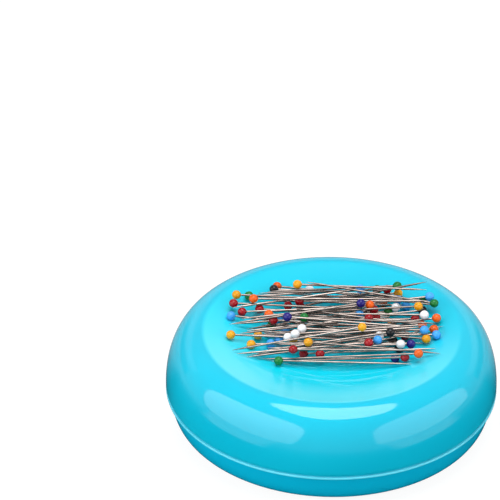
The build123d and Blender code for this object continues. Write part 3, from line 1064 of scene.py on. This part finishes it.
@dataclass
class PinSet:
    """Pins of one packed pair of nodes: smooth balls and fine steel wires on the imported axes."""

    colour: HeadColour
    shaft_node: str
    head_node: str
    body: str
    seed: int
    steel: bpy.types.Material
    plastic: bpy.types.Material
    pin_length: float = 0.045
    wire_radius: float = 0.00034
    point_length: float = 0.0045
    point_radius: float = 0.00003
    head_radius: float = 0.0015
    ball_radius: float = 0.0015
    neck_radius: float = 0.0005
    neck_flare: float = 1.15
    neck_points: tuple[Pair, ...] = ((0.0, 1.015), (0.72, 1.015), (0.94, 0.99))
    point_shares: tuple[float, ...] = (0.0, 0.03, 0.12, 0.3, 0.55, 0.8, 1.0)
    point_power: float = 0.85
    root_share: float = 0.6
    wire_steps: int = 8
    ball_steps: int = 20
    grain_spread: float = 0.5
    sharp_angle: float = 50.0
    packed_corners: int = 48
    blunt_corners: int = 18
    wire_sides: int = 14
    head_sides: int = 28

    @property
    def reach(self) -> float:
        """Distance from the head's middle to the tip."""
        return self.pin_length - self.head_radius

    def axes(self) -> tuple[np.ndarray, np.ndarray]:
        """Read each packed pin's head middle and direction from the shafts' mesh.

        A packed shaft is a prism with a point. Its corners lie along one line, the first principal
        direction of their spread. The pointed end is the one where the corners have no width.

        Returns:
            The heads' middles and the unit directions to the tips, a row for each pin.
        """
        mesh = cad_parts[self.shaft_node].data
        corners = np.empty(len(mesh.vertices) * 3, dtype=np.float32)
        mesh.vertices.foreach_get("co", corners)
        shafts = corners.astype(float).reshape(-1, self.packed_corners, 3)
        middles = shafts.mean(axis=1, keepdims=True)
        spread = shafts - middles
        lines = np.linalg.svd(spread, full_matrices=False)[2][:, 0]
        along = np.einsum("nij,nj->ni", spread, lines)
        across = np.linalg.norm(spread - along[:, :, None] * lines[:, None, :], axis=2)
        far = along > along.max(axis=1, keepdims=True) - self.wire_radius
        near = along < along.min(axis=1, keepdims=True) + self.wire_radius
        far_width = np.where(far, across, 0.0).max(axis=1)
        near_width = np.where(near, across, 0.0).max(axis=1)
        tip_index = np.where(far_width < near_width, along.argmax(axis=1), along.argmin(axis=1))
        tips = shafts[np.arange(len(shafts)), tip_index]
        signs = np.where(far_width < near_width, 1.0, -1.0)[:, None]
        rows = np.arange(len(shafts))[:, None]
        blunt = np.argsort(along * -signs, axis=1)[:, -self.blunt_corners :]
        roots = shafts[rows, blunt].mean(axis=1)
        directions = tips - roots
        directions /= np.linalg.norm(directions, axis=1, keepdims=True)
        return tips - directions * self.reach, directions

    def wire_profile(self) -> np.ndarray:
        """Wire from its tip back into the head: r = r0 + (R - r0) s^0.85 over the point, then straight.

        Returns:
            Points as rows of radius and height.
        """
        share = np.array(self.point_shares)
        radii = self.point_radius + (self.wire_radius - self.point_radius) * share**self.point_power
        heights = self.reach - share * self.point_length
        root = self.head_radius * self.root_share
        straight = np.linspace(self.reach - self.point_length, root, self.wire_steps + 1)[1:]
        body = np.stack([np.full(len(straight), self.wire_radius), straight], axis=1)
        point = np.stack([radii, heights], axis=1)
        return np.concatenate([[[0.0, self.reach]], point, body, [[0.0, straight[-1]]]])

    def head_profile(self) -> np.ndarray:
        """Ball with a small neck where the wire goes in: r = R cos a, z = R sin a, flared at the wire.

        Returns:
            Points as rows of radius and height.
        """
        neck = math.degrees(math.asin(self.neck_radius / self.ball_radius))
        ball = arc((0.0, 0.0), self.ball_radius, 90 - neck * self.neck_flare, -90, self.ball_steps)
        collar = np.array(self.neck_points) * [self.neck_radius, self.ball_radius]
        return np.concatenate([collar, ball[:-1], [[0.0, -self.ball_radius]]])

    def _carry(self, piece: bpy.types.Object, profile: np.ndarray, sides: int, heads: np.ndarray) -> None:
        """Write each pin's shade and the places along and round it to the mesh.

        Args:
            piece: piece made by the lathe.
            profile: its profile.
            sides: its number of sides.
            heads: the heads' middles.
        """
        random = np.random.default_rng(self.seed)
        each = 2 + (len(profile) - 2) * sides
        shade = np.repeat(random.random(len(heads)), each)
        heights = np.concatenate([profile[:1, 1], np.repeat(profile[1:-1, 1], sides), profile[-1:, 1]])
        radii = np.concatenate([[0.0], np.repeat(profile[1:-1, 0], sides), [0.0]])
        angles = np.concatenate([[0.0], np.tile(turns(sides), len(profile) - 2), [0.0]])
        local = np.stack([radii * np.cos(angles), radii * np.sin(angles), heights], axis=1)
        grain = (local[None] + random.random((len(heads), 1, 3)) * self.grain_spread).reshape(-1, 3)
        mesh = piece.data
        mesh.attributes.new("shade", "FLOAT", "POINT").data.foreach_set("value", shade.astype(np.float32))
        along = np.tile(heights, len(heads)).astype(np.float32)
        mesh.attributes.new("along", "FLOAT", "POINT").data.foreach_set("value", along)
        vectors = mesh.attributes.new("grain", "FLOAT_VECTOR", "POINT")
        vectors.data.foreach_set("vector", grain.astype(np.float32).ravel())

    def build(self) -> list[bpy.types.Object]:
        """Make the wires and heads of this set.

        Returns:
            The two pieces, riding on the set's body.
        """
        heads, directions = self.axes()
        label = self.head_node.replace("_pin_heads", "").replace("_pin_head", "")
        wires = (f"{label}_wires", self.shaft_node, self.wire_profile(), self.wire_sides, self.steel)
        balls = (f"{label}_balls", self.head_node, self.head_profile(), self.head_sides, self.plastic)
        made = []
        for name, node, profile, sides, material, slot in (
            (*wires, "pin_steel"),
            (*balls, f"head_{self.colour.word}"),
        ):
            vertices, faces = lathe(profile, sides, heads, directions)
            piece = make_piece(name, vertices, faces, material, self.sharp_angle)
            self._carry(piece, profile, sides, heads)
            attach(piece, self.body)
            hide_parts(node)
            made.append(piece)
        return made


@dataclass
class PinHeap:
    """All pins on the dish: eight colours in the heap and three loose ones on top."""

    loose: tuple[HeadColour, ...] = (HeadColour.GREEN, HeadColour.YELLOW, HeadColour.RED)
    loose_ball_radius: float = 0.00143
    loose_seed: int = 20
    steel: DrawnSteel = field(default_factory=lambda: DrawnSteel("nickel_plated_wire"))

    def build(self) -> list[bpy.types.Object]:
        """Make every set of pins.

        Returns:
            The wires and balls of all sets.
        """
        steel = self.steel.material()
        plastics = {
            colour: HeadPlastic(f"{colour.word}_head_plastic", colour=colour.value).material() for colour in HeadColour
        }
        pieces = []
        for seed, colour in enumerate(HeadColour):
            names = (f"{colour.word}_pin_shafts", f"{colour.word}_pin_heads", Body.HEAP.value)
            pieces += PinSet(colour, *names, seed, steel, plastics[colour]).build()
        for seed, colour in enumerate(self.loose):
            body = f"loose_{colour.word}_pin"
            names = (f"{body}_shaft", f"{body}_head", body)
            dress = (self.loose_seed + seed, steel, plastics[colour])
            pieces += PinSet(colour, *names, *dress, ball_radius=self.loose_ball_radius).build()
        return pieces


# Studio


def outward(azimuth: float, elevation: float) -> Vector:
    """Unit way out from the bowl, (sin a cos e, -cos a cos e, sin e).

    Args:
        azimuth: degrees round from the front.
        elevation: degrees above the table.

    Returns:
        The way.
    """
    across, upward = math.radians(azimuth), math.radians(elevation)
    level = math.cos(upward)
    return Vector((math.sin(across) * level, -math.cos(across) * level, math.sin(upward)))


@dataclass(frozen=True)
class Softbox:
    """A large soft lamp that faces the bowl."""

    name: str
    azimuth: float
    elevation: float
    distance: float
    width: float
    height: float
    radiance: float
    corner: float
    fade: float = 0.0
    outline_span: Pair = (0.78, 1.0)
    fade_span: Pair = (0.1, 1.0)

    def build(self, target: Vector) -> bpy.types.Object:
        """Make the lamp.

        Its light falls off smoothly at a rounded outline: on the lamp's own places x and y from -1 to
        1, the strength is a smooth step of |x|^n + |y|^n, where n is 2 over the corner's share. A
        fading lamp is weaker towards its lower edge.

        Args:
            target: point that it faces.

        Returns:
            The lamp.
        """
        lamp = bpy.data.lights.new(self.name, "AREA")
        lamp.shape = "RECTANGLE"
        lamp.size, lamp.size_y = self.width, self.height
        lamp.energy = math.pi * self.width * self.height * self.radiance
        lamp.use_nodes = True
        shader = Shader(lamp.node_tree)
        spot = shader.add("ShaderNodeNewGeometry", {}, {}, "Parametric")
        across, along = (part * 2.0 - 1.0 for part in shader.axes(spot)[:2])
        power = 1.0 / self.corner
        size = (across * across) ** power + (along * along) ** power
        strength = 1.0 - size.ramp(*self.outline_span)
        if self.fade:
            strength = strength * (1.0 - self.fade * (0.5 - along * 0.5).ramp(*self.fade_span))
        emission = shader.add("ShaderNodeEmission", {}, {"Color": WHITE_LIGHT, "Strength": strength})
        shader.add("ShaderNodeOutputLight", {}, {0: emission})
        stand = bpy.data.objects.new(self.name, lamp)
        way = outward(self.azimuth, self.elevation)
        stand.location = target + way * self.distance
        stand.rotation_mode = "QUATERNION"
        stand.rotation_quaternion = (-way).to_track_quat("-Z", "Y")
        stand.visible_camera = False
        bpy.context.scene.collection.objects.link(stand)
        return stand


@dataclass
class Studio:
    """Pale floor, pale backdrop, soft lamps and the camera."""

    target: Vector = field(default_factory=lambda: Vector((0.0, 0.0, 0.03)))
    floor_rings: tuple[float, ...] = (0.2, 1.0, 4.0)
    floor_sides: int = 96
    floor_colour: Triple = (0.4, 0.4, 0.4)
    mirror_colour: Triple = (0.015, 0.015, 0.015)
    sheet_white: float = 1.06
    shade_depth: float = 0.14
    floor_gloss: float = 0.5
    floor_gloss_reach: Pair = (0.085, 0.32)
    lamp_gloss: float = 1.0
    lamp_gloss_reach: Pair = (0.13, 0.15)
    aside_slope: float = 0.5
    aside_span: Pair = (0.0, 0.03)
    ahead_slope: float = 0.08
    ahead_span: Pair = (0.0, 0.04)
    behind_gloss: float = 0.38
    behind_reach: Pair = (0.05, 0.07)
    behind_slope: float = 0.3
    behind_span: Pair = (-0.005, 0.04)
    backdrop_gloss: float = 0.9
    side_dimming: float = 0.7
    side_reach: Pair = (0.7, 1.4)
    side_heights: Pair = (0.3, 0.9)
    world_fill: float = 0.26
    world_gloss: float = 0.42
    backdrop_distance: float = 2.6
    backdrop_height: float = 1.3
    backdrop_sweep: float = 62.0
    backdrop_steps: int = 40
    camera_distance: float = 1.375
    camera_elevation: float = 34.3
    camera_roll: float = 0.95
    camera_clip: Pair = (0.05, 20.0)
    focal_pixels: float = 4101.0
    origin_pixel: Pair = (330.5, 419.9)
    lamps: tuple[Softbox, ...] = (
        Softbox(
            "overhead_softbox",
            azimuth=22.0,
            elevation=84.0,
            distance=0.62,
            width=0.55,
            height=0.57,
            radiance=4.9,
            corner=0.8,
        ),
        Softbox(
            "left_softbox",
            azimuth=-57.0,
            elevation=17.0,
            distance=0.95,
            width=1.5,
            height=1.05,
            radiance=2.65,
            corner=0.75,
            fade=0.5,
        ),
        Softbox(
            "right_softbox",
            azimuth=66.0,
            elevation=9.0,
            distance=0.95,
            width=1.5,
            height=1.1,
            radiance=1.75,
            corner=0.75,
            fade=0.35,
        ),
    )

    def _seen(self, shader: Shader, gloss: Any) -> Signal:
        """Share in which a ray sees the white background: camera, glass and, by gloss, mirror rays.

        Args:
            shader: tree that the nodes go into.
            gloss: share for mirror rays, a number or a signal.

        Returns:
            The share from 0 to 1.
        """
        plain = shader.ray("Is Camera Ray").highest(shader.ray("Is Transmission Ray"))
        return plain.highest(shader.ray("Is Glossy Ray") * gloss)

    def _table_share(self, shader: Shader) -> Signal:
        """Share of white that mirror rays see on the table.

        It rises from 0 to the floor's gloss between two distances from the bowl's axis. In front of
        the side lamps it rises sooner and to the full share, as the table's polish mirrors them, and
        behind the bowl it is pale from the bowl's edge on.

        Args:
            shader: tree that the nodes go into.

        Returns:
            The share from 0 to 1.
        """
        across, along, _ = shader.axes(shader.own_place())
        distance = (across * across + along * along) ** 0.5
        aside = ((across * across) ** 0.5 - distance * self.aside_slope).ramp(*self.aside_span)
        ahead = (along * -1.0 - distance * self.ahead_slope).ramp(*self.ahead_span)
        lamp = distance.ramp(*self.lamp_gloss_reach) * aside * ahead
        back = (along - distance * self.behind_slope).ramp(*self.behind_span)
        behind = distance.ramp(*self.behind_reach) * back
        even = distance.ramp(*self.floor_gloss_reach) * self.floor_gloss
        return even.highest(lamp * self.lamp_gloss).highest(behind * self.behind_gloss)

    def _wall_share(self, shader: Shader) -> Signal:
        """Share of white that mirror rays see on the backdrop, dimmer low down at its two sides.

        Args:
            shader: tree that the nodes go into.

        Returns:
            The share from 0 to 1.
        """
        across, _, height = shader.axes(shader.own_place())
        side = ((across * across) ** 0.5).ramp(*self.side_reach) * (1.0 - height.ramp(*self.side_heights))
        return (1.0 - side * self.side_dimming) * self.backdrop_gloss

    def _white_material(self, name: str, share_of: Callable[[Shader], Signal]) -> bpy.types.Material:
        """Matt sheet that shows as white to the camera and still takes the object's shadow.

        Args:
            name: the material's name.
            share_of: gives the share of white that mirror rays see on it.

        Returns:
            The material.
        """
        sheet = bpy.data.materials.new(name)
        sheet.use_nodes = True
        shader = Shader(sheet.node_tree)
        share = share_of(shader)
        matt = shader.add("ShaderNodeBsdfDiffuse", {}, {"Color": self.floor_colour})
        dim = shader.add("ShaderNodeBsdfDiffuse", {}, {"Color": self.mirror_colour})
        plain = shader.add("ShaderNodeMixShader", {}, {0: shader.ray("Is Glossy Ray"), 1: matt, 2: dim})
        thin = shader.add("ShaderNodeBsdfDiffuse", {}, {"Color": (self.shade_depth,) * 3})
        glow = {"Color": WHITE_LIGHT, "Strength": self.sheet_white - self.shade_depth}
        glowing = shader.add("ShaderNodeEmission", {}, glow)
        white = shader.add("ShaderNodeAddShader", {}, {0: thin, 1: glowing})
        mixed = shader.add("ShaderNodeMixShader", {}, {0: self._seen(shader, share), 1: plain, 2: white})
        shader.add("ShaderNodeOutputMaterial", {}, {0: mixed})
        return sheet

    def floor_and_backdrop(self) -> None:
        """Level floor and an upright curved backdrop behind it.

        The floor is a disc: (r cos a, r sin a, 0). The backdrop is part of a drum: (R sin a, R cos a, z).
        """
        sheet = self._white_material("studio_table_sheet", self._table_share)
        wall = self._white_material("studio_wall_sheet", self._wall_share)
        rings, sides, steps = len(self.floor_rings), self.floor_sides, self.backdrop_steps
        flat = np.array(self.floor_rings)[:, None, None] * circle(sides)[None]
        level = np.concatenate([flat, np.zeros((rings, sides, 1))], axis=2).reshape(-1, 3)
        faces = [list(range(sides)), *ring_quads(rings, sides).tolist()]
        floor = make_piece("studio_floor", level, faces, sheet)
        sweep = np.radians(np.linspace(-self.backdrop_sweep, self.backdrop_sweep, steps))
        row = self.backdrop_distance * np.stack([np.sin(sweep), np.cos(sweep), np.zeros(steps)], axis=1)
        grid = np.concatenate([row, row + [0.0, 0.0, self.backdrop_height]])
        low = np.arange(steps - 1)
        panels = np.stack([low, low + 1, low + steps + 1, low + steps], axis=1).tolist()
        backdrop = make_piece("studio_backdrop", grid, panels, wall)

    def world(self) -> None:
        """White room: white to the camera and through glass, softer in mirror rays and as fill light."""
        room = bpy.data.worlds.new("studio_room")
        bpy.context.scene.world = room
        room.use_nodes = True
        shader = Shader(room.node_tree)
        soft = shader.add("ShaderNodeBackground", {}, {"Color": WHITE_LIGHT, "Strength": self.world_fill})
        bright = shader.add("ShaderNodeBackground", {}, {"Color": WHITE_LIGHT, "Strength": 1.0})
        mixed = shader.add("ShaderNodeMixShader", {}, {0: self._seen(shader, self.world_gloss), 1: soft, 2: bright})
        shader.add("ShaderNodeOutputWorld", {}, {0: mixed})

    def camera(self) -> None:
        """Camera that stands in front of and above the bowl, turned aside so that the bowl is off-centre.

        The camera's axes start as right, up and back towards it. They are rolled about the line of
        sight, and then turned so that the bowl's origin falls on its place in the picture.
        """
        back = outward(0.0, self.camera_elevation)
        right = Vector((1.0, 0.0, 0.0))
        upright = back.cross(right)
        level = Matrix((right, upright, back)).transposed()
        half = IMAGE_SIDE / 2
        toward = Vector((self.origin_pixel[0] - half, half - self.origin_pixel[1], -self.focal_pixels))
        aside = toward.normalized().rotation_difference(Vector((0.0, 0.0, -1.0))).to_matrix()
        roll = Matrix.Rotation(math.radians(self.camera_roll), 3, "Z")
        lens = bpy.data.cameras.new("studio_camera")
        lens.sensor_width = SENSOR_WIDTH
        lens.lens = self.focal_pixels * SENSOR_WIDTH / IMAGE_SIDE
        lens.clip_start, lens.clip_end = self.camera_clip
        stand = bpy.data.objects.new("studio_camera", lens)
        stand.matrix_world = Matrix.Translation(back * self.camera_distance) @ (level @ roll @ aside).to_4x4()
        bpy.context.scene.collection.objects.link(stand)
        bpy.context.scene.camera = stand

    def build(self) -> None:
        """Set the stage, light it and place the camera."""
        self.floor_and_backdrop()
        self.world()
        for lamp in self.lamps:
            lamp.build(self.target)
        self.camera()
        bpy.context.scene.view_settings.view_transform = "Standard"


def main() -> None:
    """Build the bowl, its magnet and its pins in order, then the studio round them."""
    logging.basicConfig(level=logging.INFO, format="%(name)s: %(message)s")
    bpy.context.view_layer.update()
    pieces = BowlShells().build()
    MagnetPack().dress()
    pieces += PinHeap().build()
    Studio().build()
    log.info("%d new pieces", len(pieces))


if __name__ == "__main__":
    main()
